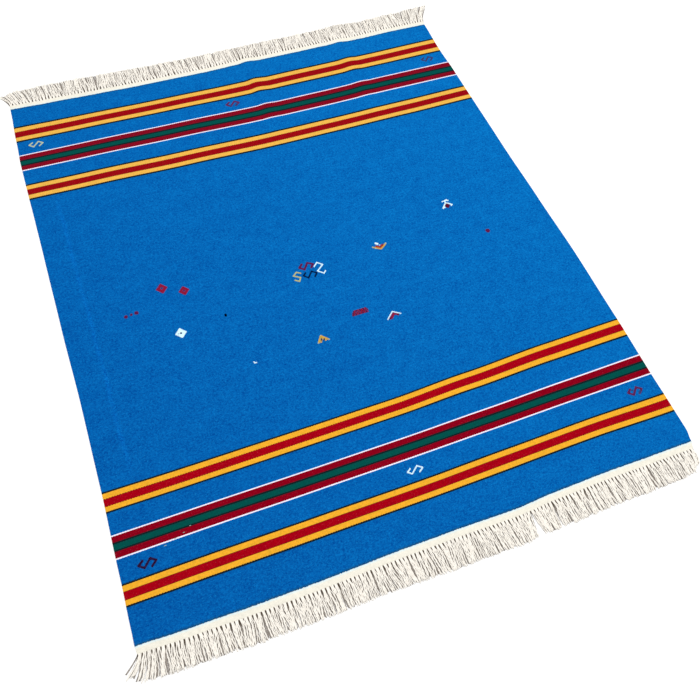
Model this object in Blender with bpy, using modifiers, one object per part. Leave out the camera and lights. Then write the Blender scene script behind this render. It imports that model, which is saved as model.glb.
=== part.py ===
"""A flat-woven kilim lying on a floor: blue wool cloth with a cream web and a warp fringe at each end.

Metres, +Z up. The origin lies on the floor under the middle of the rug. X runs across the rug, and Y runs
along it towards the far end.
"""

import bmesh
import bpy
import numpy as np

MM = 0.001

# Driving sizes
FIELD_WIDTH = 1.500
FIELD_LENGTH = 1.776
CLOTH_THICKNESS = 0.003
WEB_WIDTH = 0.015
SEAM_GAP = 0.0003

# Grid steps of the cloth
STEPS_ACROSS = 100
STEPS_ALONG = 40

# Distance within which loose points of a tube's caps are the same point
WELD = 0.00001

# How far each side strays from a straight line, in millimetres, positive towards +X
SIDE_COLUMNS = ("along", "left", "right")
SIDE_WANDER = (
    (-888, -6, -8),
    (-720, -2, -4),
    (-480, 2, 2),
    (-240, 3, 6),
    (0, 0, 2),
    (240, -1, -2),
    (640, -4, -3),
    (740, -1, -6),
    (888, 4, -2),
)

# How far each woven end strays from a straight line, in millimetres, positive towards +Y
END_COLUMNS = ("across", "near", "far")
END_WANDER = (
    (-750, 8, 6),
    (-620, 3, 4),
    (-450, -1, 0),
    (-330, -2, -4),
    (-90, 0, -5),
    (30, -1, -1),
    (220, -5, 0),
    (330, 0, 2),
    (480, 3, 0),
    (620, 2, 3),
    (750, 4, 1),
)

# Soft ridges that run in from the far end, in millimetres: where each crest lies, how high it stands at the
# end, and how wide its slopes are
RIDGE_COLUMNS = ("across", "height", "left_slope", "right_slope")
RIDGES = (
    (55, 5, 32, 52),
    (405, 4, 48, 38),
)
RIDGE_START = 0.470
RIDGE_FULL = 0.770

# Fringe strands: count, section and lie
STRANDS = 141
STRAND_WIDTH = 0.0074
STRAND_CREST = 0.0046
STRAND_HEIGHT = 0.0036
ROOT_DEPTH = 0.005
ROOT_LIFT = 0.0006
ROOT_SIZE = 0.45
NECK_REACH = 0.004
NECK_SIZE = 0.85
BEND_SHARE = 0.5
BEND_CURVE = 1.4
TIP_SIZE = 0.9
TIP_JITTER = 0.0009
BEND_JITTER = 0.0008
REACH_JITTER = 0.0035
FRINGE_SEED = 11

# How the fringe lies, in millimetres: the tips' sideways lean, positive towards +X, and their reach from the
# web's rim
LIE_COLUMNS = ("across", "near_lean", "near_reach", "far_lean", "far_reach")
FRINGE_LIE = (
    (-750, -38, 48, -18, 50),
    (-705, -14, 61, -8, 66),
    (-630, -3, 64, -3, 73),
    (-450, 1, 68, 1, 75),
    (-200, 4, 68, -2, 73),
    (0, 4, 73, 2, 72),
    (190, 2, 72, 0, 74),
    (249, -4, 69, 2, 73),
    (251, 9, 69, 2, 73),
    (320, 3, 72, 4, 72),
    (520, 2, 70, 1, 73),
    (660, 3, 69, 6, 74),
    (705, 2, 65, 14, 73),
    (750, -2, 46, 32, 64),
)

BLUE_WOOL = (0.000, 0.141, 0.515, 1.0)
CREAM_COTTON = (0.896, 0.847, 0.738, 1.0)


def blend_rows(table, columns, name, place):
    """A column of a millimetre table at a place in metres, eased smoothly from row to row."""
    at = np.array([row[0] for row in table]) * MM
    values = np.array([row[columns.index(name)] for row in table]) * MM
    last = len(at) - 2
    row = np.clip(np.searchsorted(at, place, side="right") - 1, 0, last)
    share = np.clip((place - at[row]) / (at[row + 1] - at[row]), 0.0, 1.0)
    eased = share * share * (3.0 - 2.0 * share)
    return values[row] + (values[row + 1] - values[row]) * eased


def side_edge(along, side):
    """The X of the cloth's left or right edge."""
    middle = {"left": -FIELD_WIDTH / 2, "right": FIELD_WIDTH / 2}[side]
    return middle + blend_rows(SIDE_WANDER, SIDE_COLUMNS, side, along)


def end_edge(across, end):
    """The Y of the cloth's near or far woven end."""
    middle = {"near": -FIELD_LENGTH / 2, "far": FIELD_LENGTH / 2}[end]
    return middle + blend_rows(END_WANDER, END_COLUMNS, end, across)


def ridge_height(x, y):
    """How far the cloth's underside stands off the floor."""
    fade = np.clip((y - RIDGE_START) / (RIDGE_FULL - RIDGE_START), 0.0, 1.0)
    fade = fade * fade * (3.0 - 2.0 * fade)
    height = np.zeros_like(x)
    for across, crest, left_slope, right_slope in RIDGES:
        offset = x - across * MM
        slope = np.where(offset < 0.0, left_slope, right_slope) * MM
        share = np.clip(np.abs(offset) / slope, 0.0, 1.0)
        height = height + crest * MM * 0.5 * (1.0 + np.cos(np.pi * share))
    return height * fade


def make_material(name, colour, roughness):
    material = bpy.data.materials.new(name)
    material.use_nodes = True
    shader = material.node_tree.nodes["Principled BSDF"]
    shader.inputs["Base Color"].default_value = colour
    shader.inputs["Roughness"].default_value = roughness
    shader.inputs["Metallic"].default_value = 0.0
    material.diffuse_color = colour
    return material


def sheet_object(name, collection, steps_across, steps_along, place):
    """A grid carried by place(u, v) to its lie on the floor, thickened upwards."""
    mesh = bpy.data.meshes.new(name)
    cage = bmesh.new()
    bmesh.ops.create_grid(cage, x_segments=steps_across, y_segments=steps_along, size=0.5)
    grid = np.array([vertex.co[:2] for vertex in cage.verts]) + 0.5
    spots = place(grid[:, 0], grid[:, 1])
    for vertex, spot in zip(cage.verts, spots):
        vertex.co = spot
    cage.to_mesh(mesh)
    cage.free()
    sheet = bpy.data.objects.new(name, mesh)
    collection.objects.link(sheet)
    thickness = sheet.modifiers.new("Cloth thickness", "SOLIDIFY")
    thickness.thickness = CLOTH_THICKNESS
    thickness.offset = 1.0
    return sheet


def field_place(u, v):
    """Where the cloth's grid point (u, v) lies, with u across and v along, both from 0 to 1."""
    along = (v - 0.5) * FIELD_LENGTH
    left = side_edge(along, "left")
    x = left + (side_edge(along, "right") - left) * u
    across = (u - 0.5) * FIELD_WIDTH
    near = end_edge(across, "near")
    y = near + (end_edge(across, "far") - near) * v
    return np.column_stack((x, y, ridge_height(x, y)))


def web_spot(across, outwards, end):
    """The point of a web that lies outwards metres from the cloth's end, at this place across it."""
    sign = {"near": -1.0, "far": 1.0}[end]
    corner = sign * FIELD_LENGTH / 2
    left = side_edge(corner, "left")
    right = side_edge(corner, "right")
    x = left + (right - left) * (across / FIELD_WIDTH + 0.5)
    y = end_edge(across, end) + sign * (SEAM_GAP + outwards)
    return x, y


def web_place(end):
    """The web's grid: u across the rug, v from the lower Y to the higher."""

    def place(u, v):
        across = (u - 0.5) * FIELD_WIDTH
        outwards = {"near": 1.0 - v, "far": v}[end] * WEB_WIDTH
        x, y = web_spot(across, outwards, end)
        return np.column_stack((x, y, ridge_height(x, y)))

    return place


def strand_section(guides):
    """The closed outline that each strand has: flat below, narrower above."""
    outline = bpy.data.curves.new("strand_section", "CURVE")
    outline.dimensions = "2D"
    corners = (
        (-STRAND_WIDTH / 2, 0.0),
        (STRAND_WIDTH / 2, 0.0),
        (STRAND_CREST / 2, STRAND_HEIGHT),
        (-STRAND_CREST / 2, STRAND_HEIGHT),
    )
    spline = outline.splines.new("POLY")
    spline.points.add(len(corners) - 1)
    for point, (across, up) in zip(spline.points, corners):
        point.co = (across, up, 0.0, 1.0)
    spline.use_cyclic_u = True
    section = bpy.data.objects.new("strand_section", outline)
    guides.objects.link(section)
    return section


def strand_points(end):
    """Each strand's path and sizes, from its root inside the web to its tip on the floor."""
    chance = np.random.default_rng(FRINGE_SEED + (end == "far"))
    sign = {"near": -1.0, "far": 1.0}[end]
    pitch = FIELD_WIDTH / STRANDS
    across = (np.arange(STRANDS) + 0.5) * pitch - FIELD_WIDTH / 2
    lean = blend_rows(FRINGE_LIE, LIE_COLUMNS, end + "_lean", across)
    lean = lean + chance.uniform(-TIP_JITTER, TIP_JITTER, STRANDS)
    reach = blend_rows(FRINGE_LIE, LIE_COLUMNS, end + "_reach", across)
    reach = reach + chance.uniform(-REACH_JITTER, REACH_JITTER, STRANDS)
    bend = chance.uniform(-BEND_JITTER, BEND_JITTER, STRANDS)
    root_x, root_y = web_spot(across, WEB_WIDTH - ROOT_DEPTH, end)
    rim_x, rim_y = web_spot(across, WEB_WIDTH, end)
    lift = ridge_height(root_x, root_y)
    root = (root_x, root_y, lift + ROOT_LIFT)
    neck_z = lift * (1.0 - NECK_REACH / (reach * BEND_SHARE))
    neck = (rim_x + lean * NECK_REACH / reach, rim_y + sign * NECK_REACH, neck_z)
    floor = np.zeros(STRANDS)
    middle = (rim_x + lean * BEND_SHARE**BEND_CURVE + bend, rim_y + sign * reach * BEND_SHARE, floor)
    tip = (rim_x + lean, rim_y + sign * reach, floor)
    path = np.stack([np.stack(stop, axis=-1) for stop in (root, neck, middle, tip)], axis=1)
    return path, (ROOT_SIZE, NECK_SIZE, 1.0, TIP_SIZE)


def strands_object(end, section, guides):
    """All strands of one fringe, as a mesh of closed tubes that the web's union takes in."""
    name = end + "_strands"
    bundle = bpy.data.curves.new(name, "CURVE")
    bundle.dimensions = "3D"
    bundle.twist_mode = "Z_UP"
    bundle.bevel_mode = "OBJECT"
    bundle.bevel_object = section
    bundle.use_fill_caps = True
    paths, sizes = strand_points(end)
    for path in paths:
        spline = bundle.splines.new("POLY")
        spline.points.add(len(path) - 1)
        for point, spot, size in zip(spline.points, path, sizes):
            point.co = (*spot, 1.0)
            point.radius = size
    curve = bpy.data.objects.new(name + "_curve", bundle)
    guides.objects.link(curve)
    bpy.context.view_layer.update()
    evaluated = curve.evaluated_get(bpy.context.evaluated_depsgraph_get())
    mesh = bpy.data.meshes.new_from_object(evaluated)
    tubes = bmesh.new()
    tubes.from_mesh(mesh)
    bmesh.ops.remove_doubles(tubes, verts=tubes.verts, dist=WELD)
    bmesh.ops.recalc_face_normals(tubes, faces=tubes.faces)
    tubes.to_mesh(mesh)
    tubes.free()
    strands = bpy.data.objects.new(name, mesh)
    strands.matrix_world = curve.matrix_world
    guides.objects.link(strands)
    bpy.data.objects.remove(curve)
    return strands


def make_field(parts):
    field = sheet_object("field", parts, STEPS_ACROSS, STEPS_ALONG, field_place)
    field.data.materials.append(make_material("dyed wool", BLUE_WOOL, 0.9))


def make_fringe(end, parts, guides, section):
    """The web at one end of the cloth, with its strands fused into its outer edge."""
    fringe = sheet_object(end + "_fringe", parts, STEPS_ACROSS, 1, web_place(end))
    fringe.data.materials.append(make_material(end + " cotton", CREAM_COTTON, 0.85))
    union = fringe.modifiers.new("Strands", "BOOLEAN")
    union.operation = "UNION"
    union.solver = "EXACT"
    union.object = strands_object(end, section, guides)


def main():
    for item in list(bpy.data.objects):
        bpy.data.objects.remove(item)
    parts = bpy.data.collections.new("kilim")
    guides = bpy.data.collections.new("cutters")
    bpy.context.scene.collection.children.link(parts)
    bpy.context.scene.collection.children.link(guides)
    section = strand_section(guides)
    make_field(parts)
    for end in ("near", "far"):
        make_fringe(end, parts, guides, section)
    for guide in guides.objects:
        guide.hide_render = True
        guide.display_type = "WIRE"


main()
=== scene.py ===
"""Finishes a flat-woven kilim: blue wool cloth, striped bands, brocaded ornaments and a cotton fringe.

Metres, +Z up. The origin lies on the floor under the middle of the rug. X runs across the rug, and Y runs
along it towards the far end.
"""

import bpy
import numpy as np
from mathutils import Matrix


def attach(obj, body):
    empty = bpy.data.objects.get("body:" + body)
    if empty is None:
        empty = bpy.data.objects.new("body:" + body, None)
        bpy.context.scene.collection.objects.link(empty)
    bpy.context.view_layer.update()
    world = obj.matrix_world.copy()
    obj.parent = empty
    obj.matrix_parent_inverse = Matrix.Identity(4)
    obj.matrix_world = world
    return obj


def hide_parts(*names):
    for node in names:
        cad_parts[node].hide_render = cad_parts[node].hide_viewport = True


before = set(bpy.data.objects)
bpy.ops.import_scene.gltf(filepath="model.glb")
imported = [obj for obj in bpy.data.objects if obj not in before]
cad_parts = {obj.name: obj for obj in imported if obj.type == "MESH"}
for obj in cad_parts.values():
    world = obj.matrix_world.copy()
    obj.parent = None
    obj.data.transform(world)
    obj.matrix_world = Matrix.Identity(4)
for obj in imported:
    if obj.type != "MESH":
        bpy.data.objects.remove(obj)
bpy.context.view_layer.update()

bl_info = {
    "name": "Fringed kilim",
    "version": (1, 0, 0),
    "blender": (4, 5, 0),
    "location": "3D View > Sidebar > Kilim",
    "description": "Makes a striped flat-woven rug with brocaded ornaments and a cotton fringe",
    "category": "Add Mesh",
}

MM = 0.001
BODY = "root"
SIGNS = {"near": -1.0, "far": 1.0}

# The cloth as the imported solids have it
FIELD_WIDTH = 1.500
HALF_WIDTH = FIELD_WIDTH / 2
FIELD_LENGTH = 1.776
SEAM_GAP = 0.0003
CAD_WEB_WIDTH = 0.015
STRANDS = 141
ROOT_DEPTH = 0.005

# Cells of the cloth's grid across the rug, along it, along a web and round a rim
CELLS_ACROSS = 180
CELLS_ALONG = 212
WEB_CELLS = 6
RIM_CELLS = 4

# How far the sides and ends stray from straight lines, in millimetres
SIDE_WANDER = {
    "at": (-888, -850, -720, -480, -240, 0, 240, 640, 740, 888),
    "left": (-6, -5, -2, 2, 3, 0, -1, -4, -1, 4),
    "right": (-10.5, -3.5, -2, 3, 6, 2, -2, -3, -6, -2),
}
END_WANDER = {
    "at": (-750, -620, -450, -330, -90, 30, 220, 330, 480, 620, 750),
    "near": (8, 3, -1, -2, 0, -1, -5, 0, 1.5, -0.5, -1.5),
    "far": (9.5, 5, 0, -4, -5, -1, 0, 2, 1, 5, 4.5),
}

# How far the weft at the middle of each striped band strays from its straight line, in millimetres
WEFT_WANDER = {
    "at": (-750, -550, -250, 20, 250, 500, 750),
    "near_outer": (2, 2.5, 0.5, -1.5, 1, 2.5, -3),
    "near_middle": (1.5, 1.7, -0.7, -1.5, -0.6, 1, 3),
    "near_inner": (-3.5, -5, -4.6, -3.6, 3.8, 12, 14),
    "far_inner": (11, 7.7, -0.2, -6.5, -5.5, -3.2, 0.5),
    "far_middle": (7, 5.1, 0.5, -5.9, -4.5, 0.4, 0),
    "far_outer": (6.5, 3.6, -1.6, -5.4, -2, 0.5, 5),
}

# The middle of each band, measured from the near end, and its width at the left, middle and right
BANDS = {
    "near_outer": (0.122, 0.0572, 0.0572, 0.0590),
    "near_middle": (0.242, 0.0626, 0.0614, 0.0624),
    "near_inner": (0.362, 0.0574, 0.0567, 0.0602),
    "far_inner": (1.402, 0.0660, 0.0682, 0.0703),
    "far_middle": (1.530, 0.0688, 0.0705, 0.0713),
    "far_outer": (1.658, 0.0704, 0.0702, 0.0722),
}

# The stripes of each kind of band in order from the near side, with their widths in millimetres
STRIPES = {
    "near_outer": {
        "wool": ("dark", "near_yellow", "brown", "red", "brown", "near_yellow", "dark"),
        "width": (4.5, 13.3, 0.8, 19.4, 0.8, 13.9, 4.6),
    },
    "near_middle": {
        "wool": ("white", "crimson", "dark", "green", "dark", "crimson", "white"),
        "width": (3.1, 15.2, 4.4, 14.2, 4.6, 15.4, 3.1),
    },
    "far_outer": {
        "wool": ("dark", "far_yellow", "brown", "far_red", "brown", "far_yellow", "dark"),
        "width": (6.4, 16.4, 0.9, 23.2, 0.9, 16.8, 6.6),
    },
    "far_middle": {
        "wool": ("white", "far_crimson", "dark", "green", "dark", "far_crimson", "white"),
        "width": (3.3, 17.2, 5.8, 15.2, 5.6, 17.4, 3.3),
    },
}

# Soft ridges that run in from the far end, in millimetres: place across, crest, left slope and right slope
RIDGES = ((55, 5, 32, 52), (405, 4, 48, 38))
RIDGE_START = 0.470
RIDGE_FULL = 0.770

# The least that the cloth stands off the floor, and half the height of its ripples, in metres
REST_LIFT = 0.0002
RIPPLE_LIFT = 0.00025

# The lighter line of an old fold: its place across the rug, and where it fades in and out, from the near end
FOLD_PLACE = -0.672
FOLD_START = (0.40, 0.52)
FOLD_END = (1.30, 1.38)
FOLD_WIDTH = 0.009
FOLD_LIGHT = 0.22

# How far the left and right ends of each web slant sideways for each metre outwards
WEB_SLANT = {"near": (0.1, -0.4), "far": (0.0, 0.2)}
TUCK_DROP = 0.00015

# How the fringe lies, in millimetres: the tips' sideways lean and their reach from the web's rim
FRINGE_LIE = {
    "at": (-750, -738, -720, -700, -630, -450, -200, 0, 200, 249)
    + (251, 275, 310, 312, 340, 420, 520, 660, 705, 750),
    "near_lean": (-36, -29, -21, -14, -4, 1, 4, 4, 3, -11, 15, 9, -1, 8, 5, 2, 2, 0, -4, -12),
    "near_reach": (38, 57, 63, 66, 66, 68, 68, 73, 72, 66, 66, 70, 72, 70, 72, 71, 70, 69, 65, 45),
    "far_lean": (-27, -25, -22, -17, -7, 1, -2, 2, 0, 2, 2, 3, 3, 4, 4, 3, 1, 7, 23, 47),
    "far_reach": (52, 58, 65, 70, 76, 78, 76, 75, 77, 76, 76, 76, 76, 76, 77, 84, 77, 80, 86, 89),
}

# Half the width of a bundle of yarns at places along it, in millimetres from the web's rim
BUNDLE_SPREAD = {"at": (-5, 0, 4, 9, 16, 40, 80), "half": (3.3, 3.0, 2.4, 2.9, 3.7, 4.3, 5.2)}

# Path points and sides of a loose yarn's tube and of a flat yarn's
YARN_STOPS = 33
YARN_SIDES = 5
UNDER_STOPS = 12
UNDER_SIDES = 4

# How the loose yarns bend, spread and thicken. Lengths are in metres
BEND_CURVE = 1.2
CORNER_BEND = 0.4
CORNER_REACH = 0.06
CORNER_SPREAD = 0.8
CORNER_GROWTH = 0.45
LOOSE_LENGTH = 0.02
LOWEST_LAYER = 0.0009
LAYER_DEPTH = 0.0022
TAPER_START = 0.94
TAPER_END = 0.55

# What chance adds to them: the most for each yarn, bundle or tuft of bundles
TIP_CHANCE = (-0.0035, 0.003)
LEAN_CHANCE = (0.75, 1.05)
PITCH_CHANCE = (0.8, 1.25)
RADIUS_CHANCE = (0.85, 1.15)
YARN_SWAY = {"height": 0.0018, "turns": 85.0}
BUNDLE_SWAY = {"height": 0.0026, "turns": 65.0}
YARN_STRAY = 0.0028
BUNDLE_STRAY = 0.004
TUFT_STRAY = 0.006
TUFT = 4
STRAY_SHARE = {"near": 1.0, "far": 1.4}
LEAST_STRAY = 0.2

# The same for the flat yarns below
UNDER_SIZE = 0.8
UNDER_GROWTH = 0.6
UNDER_LEAN_CHANCE = (0.7, 1.1)
UNDER_RADIUS_CHANCE = (0.9, 1.15)
UNDER_TIP_CHANCE = 0.007
UNDER_SWAY = {"height": 0.002, "turns": 90.0, "shift": 900.0}


def diamond(reach):
    """A diamond's closed outline, with its corners this far from its middle."""
    return ((0, reach), (reach, 0), (0, -reach), (-reach, 0), (0, reach))


# The ornaments' strokes, in millimetres from each one's middle
ZIGZAG = tuple((-18.0 + 5.2 * turn, 1.6 - 7.4 * (-1) ** turn) for turn in range(9))
HOOK = ((-11.5, 11), (-23, 3), (-10.5, -7), (7, 11.5), (20, 2.5), (7.5, -8))
LOW_HOOK = ((-12, 9.5), (-22, 3), (-12, -5), (7.5, 11.5), (20, 2), (8.5, -6))
ARM = ((-9, 17.5), (3, 18.5), (11, 17))
DOT = ((-0.5, 0), (0.5, 0))
ORNAMENTS = (
    ("white", (8, -713), 4.0, (LOW_HOOK,)),
    ("maroon", (-683, -710), 6.2, (HOOK,)),
    ("plum", (676, -709), 6.6, (HOOK,)),
    ("straw", (-693, 716), 4.8, (HOOK,)),
    ("mauve", (-47, 703), 7.4, (HOOK,)),
    ("slate", (680, 712), 7.0, (HOOK,)),
    ("plum", (-40, -16), 7.0, (((-11.5, 13), (-22, 3), (-9, -7), (6, 13), (21, 4), (12, -6)),)),
    ("black", (-39, -48), 5.4, (((-12, 12), (-21, 4.5), (-9, -7), (7, 12.5), (20, 2), (10.5, -8.5)),)),
    ("white", (-3, -36), 4.2, (((-16, 14), (-3.5, 25.5), (10.5, 13), (-12, -4.5), (4, -18), (10.5, -11)),)),
    ("sand", (-76, -46), 4.6, (((11, 14), (0.5, 21), (-12, 11), (6, -0.5), (-1, -12.5), (-12, -5)),)),
    ("red", (-459, 45.5), 7.0, (diamond(13.5), diamond(8))),
    ("red", (-401, 18), 8.0, (diamond(11.5), diamond(5))),
    ("white", (-446, -117.5), 5.4, (diamond(14), diamond(9.5), diamond(5))),
    ("plum", (-576, -16), 10.5, (DOT,)),
    ("plum", (-560.5, -13.5), 7.5, (DOT,)),
    ("plum", (-545.5, -12.5), 12.0, (DOT,)),
    ("white", (458, 68), 4.8, (ARM, ((5, 19), (7.5, 20.5)), ((0, 18), (-0.5, 8)))),
    ("white", (458, 68), 5.0, (((-9, -7), (-17, -8), (-1, 9), (6, 6), (16.5, -3), (13, -5)),)),
    ("garnet", (458, 66), 7.4, (diamond(6.4), DOT)),
    ("yellow", (195, -17), 5.4, (((-21, 4.5), (-11, -2), (0, -8), (10, -1.5), (20, 6.5)),)),
    ("orange", (195, -17), 8.0, (((-11, 4), (0, -1), (10, 4.5)),)),
    ("white", (195, -17), 7.4, (((-8, 16), (-4, 13)),)),
    ("plum", (536, -66), 14.5, (DOT,)),
    ("wine", (50, -216), 8.0, (((-21.5, -4.5), (21, -3.5)), ((-19, 1), (23, 2)), ((-15, 6), (20, 7)))),
    ("white", (139, -258), 3.6, (((-22.5, -7.5), (0, 13.5), (21, -0.8)),)),
    ("red", (139, -258), 6.5, (((-14.5, -7), (0.5, 6.5), (12.5, -1)), ((-9, -6.5), (-1, 2)))),
    ("yellow", (-80, -266), 6.0, (((-16, -7), (-3, 12), (14, -5)), ((-9, -7), (-3, 6), (6, -5)))),
)

# Stitches worked over those of another colour
OVERSTITCHES = (
    ("black", (-446, -118), 4.4, (DOT,)),
    ("slate", (-453, -118.5), 2.6, (DOT,)),
    ("slate", (-459, 47), 5.2, (DOT,)),
    ("plum", (-401, 18), 5.5, (DOT,)),
    ("scarlet", (50, -216), 3.2, (ZIGZAG,)),
    ("slate", (676, -709), 4.6, (((8, -7), (13, -2)), ((-9, 8), (-7, 6)))),
    ("slate", (-47, 703), 5.5, (((8, -7), (11, -3)), ((-12, -7), (-9, -5)))),
    ("garnet", (139, -258), 3.4, (((-14, -7), (-11, -6)), ((11, -1), (13.5, -1.5)))),
    ("ochre", (-80, -266), 3.0, (((-8, -4.5), (-4, 3.5)),)),
    ("black", (-80, -266), 3.4, (((0.5, -4), (3, -0.5)), ((-6, -1), (-5, 1)))),
    ("white", (195, -17), 2.8, (((-0.5, 7), (1.5, 6.5)),)),
    ("garnet", (195, -17), 2.8, (((0, 1), (3, 1.5)), ((8.5, 5), (10, 6.5)))),
    ("straw", (195, -17), 3.6, (((-23, 5.5), (-20, 4.5)), ((19, 6.5), (21.5, 8)), ((-16, -1), (-14.5, -2)))),
    ("straw", (-80, -266), 3.2, (((-18, -8), (-17, -7)), ((15, -6), (16, -6.5)), ((-3, 13), (-2.5, 14)))),
    ("white", (-279, -277), 3.4, (((-5, 6), (-4, 1), (1, 1)),)),
    ("ink", (-313, -104), 7.0, (((0, 1.5), (0, 4.5)),)),
    ("pale_green", (-635, -682), 2.2, (((-2, 0), (2, 0)),)),
    ("pale_green", (-608, -673), 2.2, (((-2, 0), (1, 0)),)),
    ("pale_green", (-586, -666), 2.0, (((-1, 0), (2, 0)),)),
    ("pale_green", (-566, -655), 2.0, (((-2, 0), (1, 0)),)),
)

# The part of a noise's range that shows
NOISE_RANGE = (0.3, 0.7)

# The wool's mottle in layers: stretch across the rug, noise scale, detail, roughness and strength
MOTTLE_LAYERS = (
    (0.22, 16.0, 3.0, 0.5, 0.04),
    (1.0, 28.0, 3.0, 0.6, 0.1),
    (0.04, 260.0, 2.0, 0.5, 0.05),
    (1.0, 150.0, 3.0, 0.65, 0.25),
)
MOTTLE_GAINS = (1.5, 1.0, 0.6)
BEAD_TONE = 0.24
HAIR_LIGHT = (0.06, 0.75, 1.0, 1.0)
HAIR_RANGE = (0.60, 0.72, 0.0, 0.65)

# How much a stripe's edge follows the beads, and the depth between two beads in metres
BEAD_EDGE = 0.4
WEAVE_DEPTH = 0.0005

# How far teeth cross the seam, and where the wool and cotton beside it change colour, in metres
TOOTH_DEPTH = 0.0005
DULL_WOOL = (0.001, 0.006)
COOL_COTTON = (0.001, 0.0055)

# The least and most light on a web's patches and beads, and on a stitch's grain
WEB_LIGHT = (0.94, 1.03)
WEB_BEADS = (0.95, 1.03)
STITCH_GRAIN = (0.82, 1.12)

# A yarn's twist, the heights at which it is painted with shade where it lies low, and the run over which
# shade is painted in the gaps beside the web
TWIST_PITCH = 0.0045
LOW_YARN = (0.0014, 0.0025)
ROOT_SHADE_RUN = (0.012, 0.026)

# The distance between the spots that a row of stitches is tested at, and how deep its edge sinks in
STITCH_STEP = 0.0006
STITCH_DEPTH = 0.0003

# The places of a stitch's points along it and across it, as shares of its half length and half width
STITCH_RUN = (-1.0, -0.9, -0.6, 0.0, 0.6, 0.9, 1.0)
STITCH_SIDE = (-1.0, -0.8, 0.0, 0.8, 1.0)

# The floor's half side and paint, the lamp above the rug and the light from all round
FLOOR_HALF = 6.0
FLOOR_COLOUR = (0.97, 0.97, 0.97, 1.0)
LAMP_PLACE = (0.55, 0.2, 4.5)
LAMP_TURN = (-0.05, 0.12, 0.0)
LAMP_SIZE = 3.0
LAMP_POWER = 112.0
ROUND_LIGHT = 0.82
WHITE_LIGHT = (1.0, 1.0, 1.0, 1.0)

# The camera's place and directions, from the photograph's frame
CAMERA_PLACE = (-0.51034, -1.29294, 1.85085)
CAMERA_RIGHT = (0.930732, -0.361329, 0.056392)
CAMERA_UP = (0.286038, 0.815353, 0.503370)
CAMERA_BACK = (-0.227861, -0.452373, 0.862229)
CAMERA_LENS = 39.64


def linear(red, green, blue):
    """A screen colour from 0 to 255 as the linear colour that a shader takes."""
    share = np.array((red, green, blue)) / 255.0
    value = np.where(share <= 0.04045, share / 12.92, ((share + 0.055) / 1.055) ** 2.4)
    return (*(float(part) for part in value), 1.0)


def length(name, description, default):
    """A size that a user may change."""
    return bpy.props.FloatProperty(
        name=name, description=description, default=default, min=0.0, unit="LENGTH", precision=5
    )


def colour(name, description, *screen):
    """A colour that a user may change, given as a screen colour from 0 to 255."""
    tint = linear(*screen)
    return bpy.props.FloatVectorProperty(
        name=name, description=description, default=tint, size=4, min=0.0, max=1.0, subtype="COLOR"
    )


class KilimSizes(bpy.types.PropertyGroup):
    """Sizes of the cloth, its weave, the fringe and the ornaments."""

    thickness: length("Cloth thickness", "Thickness of the woven cloth", 0.003)
    rim: length("Rim", "Distance over which the selvedge and ends round off", 0.0015)
    seam_rim: length("Seam rim", "The same where the field meets the webs", 0.00002)
    tuck: length("Tuck", "How far each web reaches in under the field's last wefts", 0.0015)
    web_width: length("Web width", "Width of the cream web at each end", 0.018)
    rib_pitch: length("Rib pitch", "Distance between two warp ribs", 0.0033)
    weft_pitch: length("Weft pitch", "Distance between two wefts on one rib", 0.0021)
    yarn_radius: length("Yarn radius", "Radius of a fringe yarn", 0.0012)
    crimp: length("Crimp", "How far a loosened yarn waves to each side", 0.0005)
    crimp_pitch: length("Crimp pitch", "Length of one wave of a loosened yarn", 0.014)
    stitch_pitch: length("Stitch pitch", "Distance between two brocade stitches", 0.0018)
    stitch_height: length("Stitch height", "How far a brocade stitch stands off the cloth", 0.0009)
    over_height: length("Over height", "How far a stitch worked over others stands off the cloth", 0.0011)
    yarns: bpy.props.IntProperty(
        name="Yarns", description="Loose yarns on top of each bundle of the fringe", default=5, min=1, max=9
    )
    under_yarns: bpy.props.IntProperty(
        name="Under yarns", description="Yarns that lie flat below each bundle", default=6, min=1, max=9
    )


class KilimColours(bpy.types.PropertyGroup):
    """Colours of the wool and the cotton."""

    # The field's blue runs from near blue to far blue: partly the dye's own change, and partly painted sheen
    # that lightens the wool towards the far end.
    near_blue: colour("Near blue", "Wool of the field at its near left corner", 4, 84, 157)
    far_blue: colour("Far blue", "Wool of the field at its far right corner", 6, 102, 176)
    seam_blue: colour("Seam blue", "Last wefts of the field, beside the cotton", 26, 80, 118)
    seam_white: colour("Seam white", "First wefts of the web, beside the wool", 210, 230, 234)
    near_yellow: colour("Near yellow", "Yellow wool of the bands at the near end", 225, 162, 42)
    far_yellow: colour("Far yellow", "Yellow wool of the bands at the far end", 221, 169, 72)
    red: colour("Red", "Red wool of the outer bands", 151, 2, 19)
    far_red: colour("Far red", "Red wool of the outer bands at the far end", 140, 8, 16)
    crimson: colour("Crimson", "Crimson wool of the middle bands", 127, 1, 22)
    far_crimson: colour("Far crimson", "Crimson wool of the far middle band", 122, 8, 28)
    green: colour("Green", "Green wool of the middle bands", 4, 73, 67)
    white: colour("White", "White wool of the thin stripes", 230, 228, 240)
    dark: colour("Dark", "Near-black wool of the thin stripes", 18, 30, 34)
    brown: colour("Brown", "Dark line where yellow meets red", 52, 30, 14)
    web: colour("Web", "Cotton of the web", 230, 226, 212)
    yarn: colour("Yarn", "Cotton of the fringe", 245, 240, 231)
    # Deep yarn is painted shade: cotton coloured as it looks where it lies low in the fringe's shade.
    deep_yarn: colour("Deep yarn", "Cotton that lies in the fringe's shade", 156, 148, 140)
    # Gap yarn is painted shade: the dark shade that falls in the gaps beside the web, painted on the flat
    # yarns below.
    gap_shade_yarn: colour("Gap yarn", "Cotton seen in the gaps beside the web", 92, 82, 70)


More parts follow.
